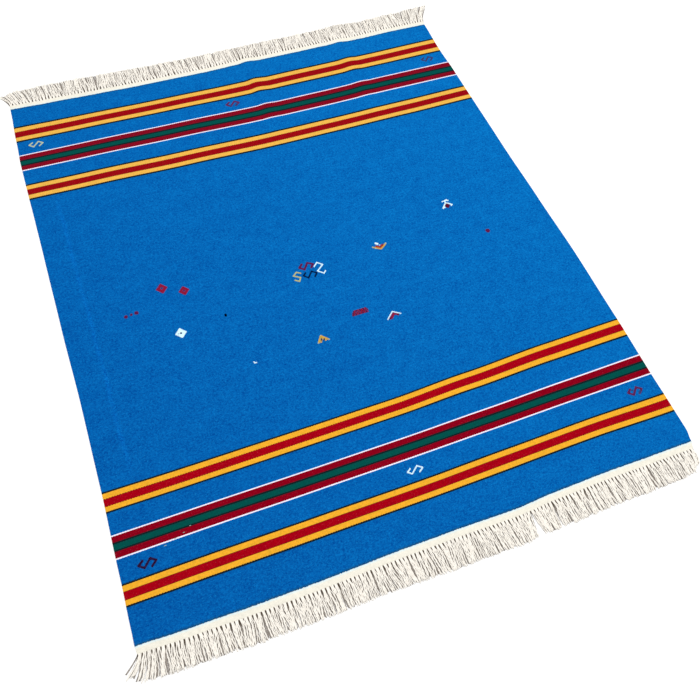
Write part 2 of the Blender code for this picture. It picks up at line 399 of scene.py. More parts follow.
# The brocade wools, as screen colours from 0 to 255
STITCH_COLOURS = {
    "white": (218, 244, 250),
    "yellow": (203, 166, 74),
    "straw": (184, 196, 164),
    "sand": (188, 186, 124),
    "ochre": (140, 116, 50),
    "orange": (174, 66, 30),
    "red": (143, 26, 58),
    "scarlet": (146, 22, 48),
    "garnet": (94, 22, 50),
    "maroon": (46, 8, 40),
    "plum": (98, 28, 72),
    "mauve": (92, 44, 92),
    "wine": (100, 24, 60),
    "slate": (56, 64, 112),
    "black": (6, 26, 66),
    "ink": (2, 8, 34),
    "pale_green": (150, 175, 165),
}


def smooth(share):
    """A share from 0 to 1, eased at both ends: 3 times its square less 2 times its cube."""
    return share * share * (3.0 - 2.0 * share)


def blend_rows(table, name, place):
    """A millimetre table's value at a place in metres, eased smoothly from row to row."""
    at = np.array(table["at"]) * MM
    values = np.array(table[name]) * MM
    row = np.clip(np.searchsorted(at, place, side="right") - 1, 0, len(at) - 2)
    share = np.clip((place - at[row]) / (at[row + 1] - at[row]), 0.0, 1.0)
    return values[row] + (values[row + 1] - values[row]) * smooth(share)


def side_edge(along, side):
    """The X of the cloth's left or right edge."""
    middle = {"left": -HALF_WIDTH, "right": HALF_WIDTH}[side]
    return middle + blend_rows(SIDE_WANDER, side, along)


def weft_drift(across, weft):
    """How far a point of the cloth lies off its weft's straight line.

    Across the rug each line's drift comes from its table. Between two lines it changes evenly.
    """
    lines = np.array([0.0] + [band[0] for band in BANDS.values()] + [FIELD_LENGTH])
    drift = [blend_rows(WEFT_WANDER, name, across) for name in BANDS]
    drift = np.stack([blend_rows(END_WANDER, "near", across), *drift, blend_rows(END_WANDER, "far", across)])
    row = np.clip(np.searchsorted(lines, weft, side="right") - 1, 0, len(lines) - 2)
    share = (weft - lines[row]) / (lines[row + 1] - lines[row])
    lower = np.take_along_axis(drift, row[None], axis=0)[0]
    upper = np.take_along_axis(drift, row[None] + 1, axis=0)[0]
    return lower + (upper - lower) * share


def cloth_lift(x, y):
    """How far the cloth's underside stands off the floor.

    Each ridge is a raised cosine across the rug, faded in along it. Two crossed sines add faint ripples.
    """
    fade = smooth(np.clip((y - RIDGE_START) / (RIDGE_FULL - RIDGE_START), 0.0, 1.0))
    height = 0.0
    for across, crest, left_slope, right_slope in RIDGES:
        offset = x - across * MM
        slope = np.where(offset < 0.0, left_slope, right_slope) * MM
        share = np.clip(np.abs(offset) / slope, 0.0, 1.0)
        height = height + crest * MM * 0.5 * (1.0 + np.cos(np.pi * share))
    ripple = 1.0 + np.sin(9.0 * x + 4.0 * y) * np.sin(13.0 * y - 5.0 * x + 1.0)
    return height * fade + REST_LIFT + RIPPLE_LIFT * ripple


def cloth_spot(across, weft):
    """Where a point of the cloth lies, with across from the middle and weft from the near end."""
    along = weft - FIELD_LENGTH / 2
    left = side_edge(along, "left")
    right = side_edge(along, "right")
    x = left + (right - left) * (across / FIELD_WIDTH + 0.5)
    return x, along + weft_drift(across, weft)


def web_spot(across, outwards, end):
    """The point of a web that lies outwards metres from the cloth's end."""
    corner = SIGNS[end] * FIELD_LENGTH / 2
    left = side_edge(corner, "left") + WEB_SLANT[end][0] * outwards
    right = side_edge(corner, "right") + WEB_SLANT[end][1] * outwards
    x = left + (right - left) * (across / FIELD_WIDTH + 0.5)
    y = corner + blend_rows(END_WANDER, end, across) + SIGNS[end] * (SEAM_GAP + outwards)
    return x, y


def graded_steps(whole, cells, rims):
    """Places along a side: even cells between two rims, each cut at equal turns of its quarter circle."""
    turn = 1.0 - np.cos(np.linspace(0.0, np.pi / 2, RIM_CELLS + 1))
    inner = np.linspace(rims[0], whole - rims[1], cells + 1)
    return np.concatenate((rims[0] * turn[:-1], inner, whole - rims[1] * turn[-2::-1]))


def rim_share(distance, rim):
    """How full the cloth is at a distance from its edge: a quarter circle, from 0 at the edge to 1."""
    share = np.clip(distance / rim, 0.0, 1.0)
    return np.sqrt(1.0 - (1.0 - share) ** 2)


def stacked(*parts):
    """Arrays brought to one shape and stacked along a new last axis."""
    return np.stack(np.broadcast_arrays(*parts), axis=-1)


def numbered(shape):
    """A grid's points, numbered from 0."""
    return np.arange(np.prod(shape)).reshape(shape)


def grid_quads(index):
    """The faces of a grid of point numbers, or of a row of such grids."""
    corners = (index[..., :-1, :-1], index[..., 1:, :-1], index[..., 1:, 1:], index[..., :-1, 1:])
    return stacked(*corners).reshape(-1, 4)


def mesh_object(name, points, faces, corner_uv, material):
    """A mesh object at the origin, from points, arrays of faces and one UV pair for each face corner."""
    mesh = bpy.data.meshes.new(name)
    corners = [face for block in faces for face in block.tolist()]
    mesh.from_pydata(points.reshape(-1, 3).tolist(), [], corners)
    layer = mesh.uv_layers.new(name="Weave")
    layer.data.foreach_set("uv", corner_uv.astype(np.float32).ravel())
    mesh.shade_smooth()
    mesh.materials.append(material)
    mesh.validate()
    piece = bpy.data.objects.new(name, mesh)
    bpy.context.scene.collection.objects.link(piece)
    return piece


def pillow_sheet(name, u, v, place, thickness, rims, material):
    """Cloth as two grids that share their rim.

    Point (u, v) lies at place(u, v), half the thickness up, and goes up or down from there by half the
    thickness times the rim's quarter circle, so that the top and the underside meet at the edge.
    """
    grid_u, grid_v = np.meshgrid(u, v, indexing="ij")
    x, y, lift = place(grid_u, grid_v)
    full = rim_share(np.minimum(grid_u - u[0], u[-1] - grid_u), rims[0])
    full = full * rim_share(grid_v - v[0], rims[1]) * rim_share(v[-1] - grid_v, rims[2])
    middle = lift + thickness / 2
    top = stacked(x, y, middle + full * thickness / 2)
    under = stacked(x, y, middle - full * thickness / 2)
    inside = np.zeros(grid_u.shape, dtype=bool)
    inside[1:-1, 1:-1] = True
    top_index = numbered(grid_u.shape)
    under_index = top_index.copy()
    under_index[inside] = grid_u.size + np.arange(inside.sum())
    top_faces = grid_quads(top_index)
    faces = (top_faces, grid_quads(under_index)[:, ::-1])
    corners = np.concatenate((top_faces, top_faces[:, ::-1])).ravel()
    points = np.concatenate((top.reshape(-1, 3), under[inside]))
    corner_uv = stacked(grid_u, grid_v).reshape(-1, 2)[corners]
    return mesh_object(name, points, faces, corner_uv, material)


def yarn_tubes(name, paths, radii, sides, material):
    """Round yarns: a ring of points about each path point, square to the path, closed by a cap at each end.

    A ring's point is the path point plus the radius times cos(turn) sideways and sin(turn) upwards.
    """
    count, stops = radii.shape
    ahead = np.gradient(paths, axis=1)
    ahead = ahead / np.linalg.norm(ahead, axis=-1, keepdims=True)
    side = np.cross(ahead, (0.0, 0.0, 1.0))
    side = side / np.linalg.norm(side, axis=-1, keepdims=True)
    up = np.cross(side, ahead)
    turn = np.arange(sides) * 2.0 * np.pi / sides
    ring = np.cos(turn)[:, None] * side[..., None, :] + np.sin(turn)[:, None] * up[..., None, :]
    points = paths[..., None, :] + ring * radii[..., None, None]
    index = numbered((count, stops, sides))
    quads = grid_quads(np.concatenate((index, index[..., :1]), axis=-1))
    caps = np.concatenate((index[:, 0], index[:, -1, ::-1]))
    step = np.linalg.norm(np.diff(paths, axis=1), axis=-1)
    run = np.concatenate((np.zeros((count, 1)), np.cumsum(step, axis=1)), axis=1)
    pairs = stacked(np.arange(sides + 1) / sides, run[..., None])
    quad_uv = pairs.reshape(-1, 2)[grid_quads(numbered(pairs.shape[:3])).ravel()]
    cap_uv = pairs[:, (0, -1), :-1].swapaxes(0, 1)
    corner_uv = np.concatenate((quad_uv, cap_uv.reshape(-1, 2)))
    return mesh_object(name, points, (quads, caps), corner_uv, material)


def corner_share(across):
    """How near a place on the rim is to a corner: 0 past the corner's reach from the side, and 1 at it."""
    return 1.0 - np.clip((HALF_WIDTH - np.abs(across)) / CORNER_REACH, 0.0, 1.0)


def rim_places(count):
    """Evenly spaced places across the rug, one for each bundle or yarn."""
    return (np.arange(count) + 0.5) * (FIELD_WIDTH / count) - HALF_WIDTH


def lie_of(end, across, sizes):
    """The tips' lean, and their reach from the drawn web's rim."""
    reach = blend_rows(FRINGE_LIE, end + "_reach", across) + CAD_WEB_WIDTH - sizes.web_width
    return blend_rows(FRINGE_LIE, end + "_lean", across), reach


def run_out(reach, tip, stops):
    """Each yarn's distances from the web's rim, from its root to its tip, and their shares of the reach."""
    forward = -ROOT_DEPTH + np.linspace(0.0, 1.0, stops) * (tip + ROOT_DEPTH)
    return forward, np.clip(forward, 0.0, None) / reach


def waves(chance, shape, forward, sway):
    """A sine along each yarn or bundle, with a random height and start."""
    height = chance.uniform(-sway["height"], sway["height"], shape)
    return height * np.sin(forward * sway["turns"] + chance.uniform(0.0, 6.28, shape))


def fringe_paths(end, sizes, stops):
    """Every loose yarn's path and radii, for one end's fringe.

    A yarn runs straight out of the web and leans sideways by its bundle's lean times (distance / reach) to
    the bend's power. Its bundle's half width, slow sways and a sine crimp add to that. It drops from the
    web's rim to its layer on the floor over half its reach.
    """
    chance = np.random.default_rng({"near": 21, "far": 22}[end])
    across = rim_places(STRANDS)
    lean, reach = (part[:, None, None] for part in lie_of(end, across, sizes))
    shape = (STRANDS, sizes.yarns, 1)
    bundle = (STRANDS, 1, 1)
    order = np.linspace(-1.0, 1.0, sizes.yarns)[None, :, None] + chance.uniform(-0.25, 0.25, shape)
    forward, ahead = run_out(reach, reach + chance.uniform(*TIP_CHANCE, shape), stops)
    loose = smooth(np.clip(forward / LOOSE_LENGTH, 0.0, 1.0))
    half = np.interp(forward, *(np.array(BUNDLE_SPREAD[name]) * MM for name in ("at", "half")))
    crimp_phase = chance.uniform(0.0, 2.0 * np.pi, shape)
    crimp_pitch = sizes.crimp_pitch * chance.uniform(*PITCH_CHANCE, shape)
    crimp = 2.0 * np.pi * forward / crimp_pitch + crimp_phase
    sway = waves(chance, shape, forward, YARN_SWAY) + waves(chance, bundle, forward, BUNDLE_SWAY)
    stray = chance.uniform(-BUNDLE_STRAY, BUNDLE_STRAY, bundle)
    stray = stray + chance.uniform(-YARN_STRAY, YARN_STRAY, shape)
    tuft = np.arange(0, STRANDS + TUFT, TUFT)
    together = np.interp(np.arange(STRANDS), tuft, chance.uniform(-TUFT_STRAY, TUFT_STRAY, tuft.size))
    edge = corner_share(across)[:, None, None]
    stray = (stray + together[:, None, None]) * np.maximum(1.0 - edge, LEAST_STRAY) * STRAY_SHARE[end]
    corner = edge * ahead
    fan = lean * chance.uniform(*LEAN_CHANCE, shape) * ahead ** (BEND_CURVE + CORNER_BEND * edge)
    rim_x, rim_y = (part[:, None, None] for part in web_spot(across, sizes.web_width, end))
    x = rim_x + fan + order * half * (1.0 + CORNER_SPREAD * corner)
    x = x + loose * (sway + sizes.crimp * np.sin(crimp)) + stray * ahead
    y = rim_y + SIGNS[end] * forward
    fall = smooth(np.clip(forward / (reach * 0.5), 0.0, 1.0))
    layer = LOWEST_LAYER + chance.uniform(0.0, LAYER_DEPTH, shape) * (1.0 - 0.4 * ahead)
    rest = sizes.yarn_radius + layer + 0.5 * sizes.crimp * (1.0 + np.cos(crimp))
    z = cloth_lift(rim_x, rim_y) * (1.0 - fall) + sizes.thickness / 2 * (1.0 - loose) + rest * loose
    paths = stacked(x, y, z).reshape(-1, stops, 3)
    taper = np.interp(np.linspace(0.0, 1.0, stops), (0.0, TAPER_START, 1.0), (1.0, 1.0, TAPER_END))
    radii = sizes.yarn_radius * taper * chance.uniform(*RADIUS_CHANCE, (len(paths), 1))
    return paths, radii * (1.0 + CORNER_GROWTH * corner.reshape(-1, stops))


def under_paths(end, sizes, stops):
    """The paths and radii of the flat yarns below, with the same lean and a slow sway.

    They are spread evenly over the web's rim, and lie on the floor.
    """
    chance = np.random.default_rng({"near": 31, "far": 32}[end])
    across = rim_places(STRANDS * sizes.under_yarns)[:, None]
    lean, reach = lie_of(end, across, sizes)
    lean = lean * chance.uniform(*UNDER_LEAN_CHANCE, across.shape)
    tip = reach - chance.uniform(0.0, UNDER_TIP_CHANCE, across.shape)
    forward, ahead = run_out(reach, tip, stops)
    rim_x, rim_y = web_spot(across, sizes.web_width, end)
    height = chance.uniform(-UNDER_SWAY["height"], UNDER_SWAY["height"], across.shape)
    sway = height * np.sin(forward * UNDER_SWAY["turns"] + across * UNDER_SWAY["shift"])
    x = rim_x + lean * ahead**BEND_CURVE + sway * ahead
    y = rim_y + SIGNS[end] * forward
    fall = smooth(np.clip(ahead * 2.0, 0.0, 1.0))
    radii = UNDER_SIZE * sizes.yarn_radius * chance.uniform(*UNDER_RADIUS_CHANCE, across.shape)
    radii = radii * (1.0 + UNDER_GROWTH * corner_share(across) * ahead)
    z = cloth_lift(rim_x, rim_y) * (1.0 - fall) + radii + 0.0001
    return stacked(x, y, z), radii


def stroke_legs(strokes, shift=(0.0, 0.0)):
    """A chart's strokes as straight legs in metres, moved by a shift in millimetres."""
    return (np.array([(a, b) for line in strokes for a, b in zip(line[:-1], line[1:])]) + shift) * MM


def stroke_gap(spots, legs):
    """Each spot's distance to the nearest leg."""
    start, run = legs[:, 0], legs[:, 1] - legs[:, 0]
    share = np.clip(((spots - start) * run).sum(-1) / (run * run).sum(-1), 0.0, 1.0)
    return np.linalg.norm(spots - start - share[..., None] * run, axis=-1).min(-1)


def stroke_rows(legs, width, pitch, cuts):
    """The brocade stitches that cover a chart's legs, as arrays of their start, end and row.

    A spot on the stitch grid is covered if its distance to the nearest leg is under half the width, and no
    cut covers it. Each run of covered spots in a row is one stitch.
    """
    reach = np.abs(legs).max() + width
    columns = np.arange(-reach, reach, STITCH_STEP)
    rows = np.arange(-reach, reach, pitch) + pitch / 2
    spots = stacked(columns[:, None], rows)[:, :, None, :]
    covered = stroke_gap(spots, legs) < width / 2
    for cut_legs, cut_width in cuts:
        covered = covered & (stroke_gap(spots, cut_legs) > cut_width / 2)
    change = np.diff(np.pad(covered, ((1, 1), (0, 0))).astype(int), axis=0)
    first_row, first = np.nonzero(change.T == 1)
    last = np.nonzero(change.T == -1)[1]
    return columns[first] - STITCH_STEP / 2, columns[last - 1] + STITCH_STEP / 2, rows[first_row]


def over_cuts(place):
    """The legs and widths of the stitches worked over an ornament, measured from its middle."""
    near = [chart for chart in OVERSTITCHES if np.abs(np.subtract(chart[1], place)).max() < 20.0]
    return [(stroke_legs(strokes, np.subtract(spot, place)), width * MM) for _, spot, width, strokes in near]


def stitch_pillows(name, starts, ends, rows, heights, sizes, material):
    """Raised stitches: each is a low arched pillow laid along its row of the cloth.

    It stands its height times the root of (1 - side^2), times the root of (1 - run^6), off the cloth.
    """
    run = np.array(STITCH_RUN)[:, None]
    side = np.array(STITCH_SIDE)
    middle = ((starts + ends) / 2)[:, None, None]
    half = ((ends - starts) / 2)[:, None, None]
    x = middle + half * run
    y = rows[:, None, None] + sizes.stitch_pitch * 0.5 * side * (1.0 - 0.35 * run**6)
    arch = np.sqrt(1.0 - side**2) * np.sqrt(1.0 - run**6)
    base = cloth_lift(x, y) + sizes.thickness - STITCH_DEPTH
    points = stacked(x, y, base + (heights[:, None, None] + STITCH_DEPTH) * arch)
    quads = grid_quads(numbered(points.shape[:3]))
    pairs = points[..., :2].reshape(-1, 2)
    return mesh_object(name, points, (quads,), pairs[quads.ravel()], material)


class Value:
    """An output socket in a node tree. Sums written with values become Math nodes."""

    def __init__(self, tree, socket):
        self.tree = tree
        self.socket = socket

    def __add__(self, other):
        return calc("ADD", self, other)

    def __sub__(self, other):
        return calc("SUBTRACT", self, other)

    def __rsub__(self, other):
        return calc("SUBTRACT", other, self)

    def __mul__(self, other):
        return calc("MULTIPLY", self, other)

    def __truediv__(self, other):
        return calc("DIVIDE", self, other)

    def __lt__(self, other):
        return calc("LESS_THAN", self, other)


def feed(socket, value):
    """Links a value to a socket, or sets the socket's own value."""
    if isinstance(value, Value):
        value.tree.links.new(value.socket, socket)
    else:
        socket.default_value = value


def made(kind, values, sockets=None, **settings):
    """The outputs of a new node, whose inputs are fed in order or by the sockets' names or numbers."""
    tree = next(value.tree for value in values if isinstance(value, Value))
    node = tree.nodes.new("ShaderNode" + kind)
    for name, setting in settings.items():
        setattr(node, name, setting)
    for socket, value in zip(sockets or range(len(values)), values):
        feed(node.inputs[socket], value)
    return [Value(tree, socket) for socket in node.outputs]


def calc(operation, *values):
    """The answer of one Math node."""
    return made("Math", values, operation=operation)[0]


def mixed(share, first, second, blend="MIX"):
    """Two colours mixed by a share."""
    return made("Mix", (share, first, second), (0, 6, 7), data_type="RGBA", blend_type=blend)[2]


def ranged(value, low, high, new_low, new_high):
    """A value carried from one range to another, and kept inside it."""
    return made("MapRange", (value, low, high, new_low, new_high))[0]


def joined(x, y, z=0.0):
    """A vector of three values."""
    return made("CombineXYZ", (x, y, z))[0]


def noise(place, scale, detail=2.0, roughness=0.5):
    """A cloudy value at a place."""
    sockets = ("Vector", "Scale", "Detail", "Roughness")
    return made("TexNoise", (place, scale, detail, roughness), sockets)[0]


def clouded(place, scale, low, high, detail=2.0, roughness=0.5):
    """A cloudy value at a place, from low to high."""
    return ranged(noise(place, scale, detail, roughness), *NOISE_RANGE, low, high)


def brightened(tint, value):
    """A colour times a brightness."""
    return made("HueSaturation", (tint, value), ("Color", "Value"))[0]


def own_uv(tree):
    """The piece's own UV map, as its two values."""
    node = tree.nodes.new("ShaderNodeUVMap")
    node.uv_map = "Weave"
    return made("SeparateXYZ", (Value(tree, node.outputs["UV"]),))[:2]


def effect_group(name, takes, gives):
    """An empty node group. Returns its tree, the values that it takes and the sockets that it gives.

    Each holds a float, apart from one that is named Colour.
    """
    tree = bpy.data.node_groups.new(name, "ShaderNodeTree")
    for labels, way in ((takes, "INPUT"), (gives, "OUTPUT")):
        for label in labels:
            kind = "NodeSocketColor" if label == "Colour" else "NodeSocketFloat"
            tree.interface.new_socket(name=label, in_out=way, socket_type=kind)
    taken = tree.nodes.new("NodeGroupInput").outputs
    return tree, [Value(tree, taken[label]) for label in takes], tree.nodes.new("NodeGroupOutput").inputs


def shared_group(name, make, *values):
    """The node group of this name, made only once."""
    return bpy.data.node_groups.get(name) or make(name, *values)


def placed(group, **values):
    """The outputs of a group placed in a material. Underscores in its input names are read as spaces."""
    labels = [label.replace("_", " ") for label in values]
    return made("Group", tuple(values.values()), labels, node_tree=group)


def weave_group(name):
    """Weft-faced weave: beads of weft over each warp rib, with every second rib half a weft further on.

    A bead's height is cos(across the rib) times cos(along the rib), and its tone is a random number.
    """
    takes = ("Across", "Along", "Rib pitch", "Weft pitch")
    tree, given, result = effect_group(name, takes, ("Height", "Tone", "Place"))
    across, along, rib_pitch, weft_pitch = given
    ribs = across / rib_pitch
    rib = calc("FLOOR", ribs)
    shift = calc("FRACT", rib * 0.5)
    wefts = along / weft_pitch + shift
    weft = calc("FLOOR", wefts)
    rise = [calc("COSINE", (calc("FRACT", place) - 0.5) * np.pi) for place in (ribs, wefts)]
    feed(result["Height"], calc("POWER", rise[0] * rise[1], 0.6))
    feed(result["Tone"], made("TexWhiteNoise", (joined(rib, weft),), noise_dimensions="2D")[0])
    feed(result["Place"], (weft + 0.5 - shift) * weft_pitch)
    return tree


def band_group(name, stripes):
    """One striped band: its stripes in order from the near side, as shares of the band's width."""
    takes = ("Across", "Weft place", "Middle", "Left width", "Centre width", "Right width")
    tree, (across, weft, middle, left, centre, right), result = effect_group(name, takes, ("Colour", "Mask"))
    width = ranged(across, -HALF_WIDTH, 0.0, left, centre) - centre
    width = width + ranged(across, 0.0, HALF_WIDTH, centre, right)
    share = (weft - middle) / width + 0.5
    ramp = tree.nodes.new("ShaderNodeValToRGB")
    ramp.color_ramp.interpolation = "CONSTANT"
    feed(ramp.inputs[0], share)
    parts = np.array([part for part, _ in stripes])
    starts = np.concatenate(((0.0,), np.cumsum(parts)[:-1])) / parts.sum()
    elements = ramp.color_ramp.elements
    elements.remove(elements[1])
    elements[0].color = stripes[0][1]
    for start, (_, tint) in zip(starts[1:], stripes[1:]):
        elements.new(float(start)).color = tint
    feed(result["Colour"], Value(tree, ramp.outputs["Color"]))
    feed(result["Mask"], calc("ABSOLUTE", share - 0.5) < 0.5)
    return tree


def wool_group(name):
    """The mottle of dyed wool: a tone for each bead, layers of cloudy shade, and hairs that catch light."""
    takes = ("Colour", "Across", "Along", "Tone", "Mottle")
    tree, (tint, across, along, tone, mottle), result = effect_group(name, takes, ("Colour",))
    shade = ranged(tone, 0.0, 1.0, -BEAD_TONE, BEAD_TONE)
    for stretch, scale, detail, roughness, most in MOTTLE_LAYERS:
        shade = shade + clouded(joined(across * stretch, along), scale, -most, most, detail, roughness)
    gains = [shade * mottle * gain + 1.0 for gain in MOTTLE_GAINS]
    dyed = mixed(1.0, tint, joined(*gains), "MULTIPLY")
    hairs = ranged(noise(joined(across, along), 300.0, 2.0, 0.7), *HAIR_RANGE)
    feed(result["Colour"], mixed(hairs * mottle, dyed, mixed(0.2, tint, HAIR_LIGHT)))
    return tree


def crease_group(name):
    """A lighter line along an old fold of the rug: a soft bell across it, broken up by noise along it."""
    tree, (across, along, place), result = effect_group(name, ("Across", "Along", "Place"), ("Light",))
    offset = across - place - clouded(joined(along, 0.0), 4.0, -0.004, 0.004)
    bell = ranged(calc("ABSOLUTE", offset), 0.0, FOLD_WIDTH, 1.0, 0.0)
    patch = ranged(noise(joined(across, along), 22.0), 0.35, 0.6, 0.35, 1.0)
    start = ranged(along, *FOLD_START, 0.0, 1.0)
    finish = ranged(along, *FOLD_END, 1.0, 0.0)
    feed(result["Light"], bell * patch * start * finish)
    return tree


def tooth_group(name):
    """How far each rib's last stitches reach over the seam of wool and cotton, at random."""
    tree, (across, rib_pitch), result = effect_group(name, ("Across", "Rib pitch"), ("Depth",))
    chance = made("TexWhiteNoise", (calc("FLOOR", across / rib_pitch),), ("W",), noise_dimensions="1D")[0]
    feed(result["Depth"], ranged(chance, 0.0, 1.0, -TOOTH_DEPTH, TOOTH_DEPTH))
    return tree


def twist_group(name):
    """Two-ply yarn: a helix of grooves around it and fine fibres along it, from the yarn's own UV map."""
    tree, (turn, along, pitch), result = effect_group(name, ("Round", "Along", "Twist pitch"), ("Height",))
    ply = calc("ABSOLUTE", calc("SINE", (turn * 2.0 + along / pitch) * np.pi))
    feed(result["Height"], ply + noise(joined(turn * 3.0, along), 900.0) * 0.35)
    return tree


def new_material(name, roughness=0.95):
    """A dull material. Returns it with its tree and the shader's inputs."""
    material = bpy.data.materials.new(name)
    material.use_nodes = True
    shader = material.node_tree.nodes["Principled BSDF"].inputs
    shader["Roughness"].default_value = roughness
    shader["Specular IOR Level"].default_value = 0.0
    return material, material.node_tree, shader


def raised(shader, height, distance, strength):
    """Sends a height to the shader through a Bump node."""
    sockets = ("Height", "Distance", "Strength")
    feed(shader["Normal"], made("Bump", (height, distance, strength), sockets)[0])


def woven(sizes, across, along):
    """The weave's height, tone and weft place, and how far this rib's wool reaches over the seam."""
    ribs = {"Across": across, "Rib_pitch": sizes.rib_pitch}
    weave = shared_group("Weft-faced weave", weave_group)
    teeth = shared_group("Seam teeth", tooth_group)
    return *placed(weave, **ribs, Along=along, Weft_pitch=sizes.weft_pitch), placed(teeth, **ribs)[0]


def striped(colours, tint, across, weft):
    """The field's colour with the six bands laid over it, and a mask of the bands."""
    mask = 0.0
    for name, (middle, left, centre, right) in BANDS.items():
        kind = name.replace("inner", "outer")
        rows = STRIPES[kind]
        stripes = [(part, getattr(colours, wool)) for part, wool in zip(rows["width"], rows["wool"])]
        group = shared_group(kind.replace("_", " ").capitalize() + " band", band_group, stripes)
        widths = {"Left_width": left, "Centre_width": centre, "Right_width": right}
        band, share = placed(group, Across=across, Weft_place=weft, Middle=middle, **widths)
        tint = mixed(share, tint, band)
        mask = calc("MAXIMUM", mask, share)
    return tint, mask


def field_material(sizes, colours):
    """Blue wool with its striped bands, and cream teeth where the web's cotton begins."""
    material, tree, shader = new_material("Dyed wool weave")
    across, along = own_uv(tree)
    height, tone, place, tooth = woven(sizes, across, along)
    # The blue shifts across and along the field: partly the dye's own change, and partly painted sheen that
    # lightens it towards the far end.
    dye_and_sheen = ranged(across, -HALF_WIDTH, HALF_WIDTH, 0.0, 0.6) + ranged(along, 0.0, FIELD_LENGTH, 0.0, 0.4)
    blue = mixed(dye_and_sheen, colours.near_blue, colours.far_blue)
    weft = place * BEAD_EDGE + along * (1.0 - BEAD_EDGE)
    tint, bands = striped(colours, blue, across, weft)
    seam = calc("MINIMUM", along, FIELD_LENGTH - along) - tooth
    tint = mixed(ranged(seam, *DULL_WOOL, 0.9, 0.0), tint, colours.seam_blue)
    tint = mixed(seam < 0.0, tint, colours.web)
    wool = shared_group("Dyed wool", wool_group)
    wool = placed(wool, Colour=tint, Across=across, Along=along, Tone=tone, Mottle=1.0 - bands * 0.7)[0]
    crease = shared_group("Fold line", crease_group)
    light = placed(crease, Across=across, Along=along, Place=FOLD_PLACE)[0]
    feed(shader["Base Color"], brightened(wool, light * FOLD_LIGHT + 1.0))
    raised(shader, height, WEAVE_DEPTH, 0.6)
    return material


def web_material(sizes, colours):
    """Undyed cotton in the same weave, with teeth of wool and a cooler tone beside the field."""
    material, tree, shader = new_material("Cotton web")
    across, along = own_uv(tree)
    height, tone, _, tooth = woven(sizes, across, along)
    seam = along + tooth
    # The same blue shift for the wool teeth: partly dye, and partly painted sheen.
    dye_and_sheen = ranged(across, -HALF_WIDTH, HALF_WIDTH, 0.2, 0.8)
    blue = mixed(dye_and_sheen, colours.near_blue, colours.far_blue)
    cotton = mixed(ranged(seam, *COOL_COTTON, 1.0, 0.0), colours.web, colours.seam_white)
    light = clouded(joined(across, along), 90.0, *WEB_LIGHT) * ranged(tone, 0.0, 1.0, *WEB_BEADS)
    feed(shader["Base Color"], brightened(mixed(seam < 0.0, cotton, blue), light))
    raised(shader, height, WEAVE_DEPTH, 0.5)
    return material


def plied_material(name, light, dark, shade):
    """Twisted cotton between two colours, the darker one painted shade. The dark colour's share is what
    shade works out from the place and the run.
    """
    material, tree, shader = new_material(name)
    turn, along = own_uv(tree)
    place = Value(tree, tree.nodes.new("ShaderNodeTexCoord").outputs["Object"])
    plied = shared_group("Plied yarn", twist_group)
    twist = placed(plied, Round=turn, Along=along, Twist_pitch=TWIST_PITCH)[0]
    share = calc("MAXIMUM", calc("MINIMUM", shade(place, along), 1.0), 0.0)
    feed(shader["Base Color"], mixed(share, light, dark))
    raised(shader, twist, 0.0004, 0.4)
    return material


def low_shade(place, _):
    """Painted shade, greyer where a yarn lies low among the others, and a little uneven."""
    low = ranged(made("SeparateXYZ", (place,))[2], *LOW_YARN, 0.95, 0.0)
    return low + clouded(place, 160.0, 0.0, 0.12)


def root_shade(place, along):
    """Painted shade, darkest in the gaps beside the web."""
    return ranged(along, *ROOT_SHADE_RUN, 1.0, 0.0) + clouded(place, 90.0, -0.25, 0.25)


def stitch_material(name, tint):
    """Brocade wool: one yarn colour, with its strands lying along the stitch."""
    material, tree, shader = new_material(name)
    across, along = own_uv(tree)
    grain = noise(joined(across * 0.15, along), 1600.0)
    feed(shader["Base Color"], brightened(tint, ranged(grain, *NOISE_RANGE, *STITCH_GRAIN)))
    raised(shader, grain, 0.0003, 0.6)
    return material


def settings():
    """The user's sizes and colours."""
    scene = bpy.context.scene
    return scene.kilim_sizes, scene.kilim_colours


def settle(piece, slot, *nodes):
    """The piece rides on the rug and stands for these CAD nodes. Its slot is not used."""
    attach(piece, BODY)
    if nodes:
        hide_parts(*nodes)
    return piece


class KILIM_OT_stage(bpy.types.Operator):
    """Makes the floor, the soft light and the camera."""

    bl_idname = "kilim.stage"
    bl_label = "Stage"

    def execute(self, context):
        scene = context.scene
        steps = np.linspace(-FLOOR_HALF, FLOOR_HALF, 13)
        x, y = np.meshgrid(steps, steps, indexing="ij")
        faces = grid_quads(numbered(x.shape))
        points = stacked(x, y, 0.0)
        paint, _, shader = new_material("Pale floor", 0.9)
        shader["Base Color"].default_value = FLOOR_COLOUR
        floor = mesh_object("floor", points, (faces,), points.reshape(-1, 3)[faces.ravel(), :2], paint)
        world = scene.world or bpy.data.worlds.new("Studio")
        scene.world = world
        world.use_nodes = True
        glow = world.node_tree.nodes["Background"]
        glow.inputs["Color"].default_value = WHITE_LIGHT
        glow.inputs["Strength"].default_value = ROUND_LIGHT
        lamp = bpy.data.lights.new("Soft lamp", "AREA")
        lamp.shape = "DISK"
        lamp.size = LAMP_SIZE
        lamp.energy = LAMP_POWER
        light = bpy.data.objects.new("Soft lamp", lamp)
        scene.collection.objects.link(light)
        light.location = LAMP_PLACE
        light.rotation_euler = LAMP_TURN
        view = bpy.data.cameras.new("Camera")
        view.lens = CAMERA_LENS
        view.sensor_width = 36.0
        view.sensor_fit = "HORIZONTAL"
        camera = bpy.data.objects.new("Camera", view)
        scene.collection.objects.link(camera)
        columns = (CAMERA_RIGHT, CAMERA_UP, CAMERA_BACK, CAMERA_PLACE)
        rows = [[column[row] for column in columns] for row in range(3)]
        camera.matrix_world = Matrix((*rows, (0.0, 0.0, 0.0, 1.0)))
        scene.camera = camera
        scene.view_settings.view_transform = "Standard"
        return {"FINISHED"}


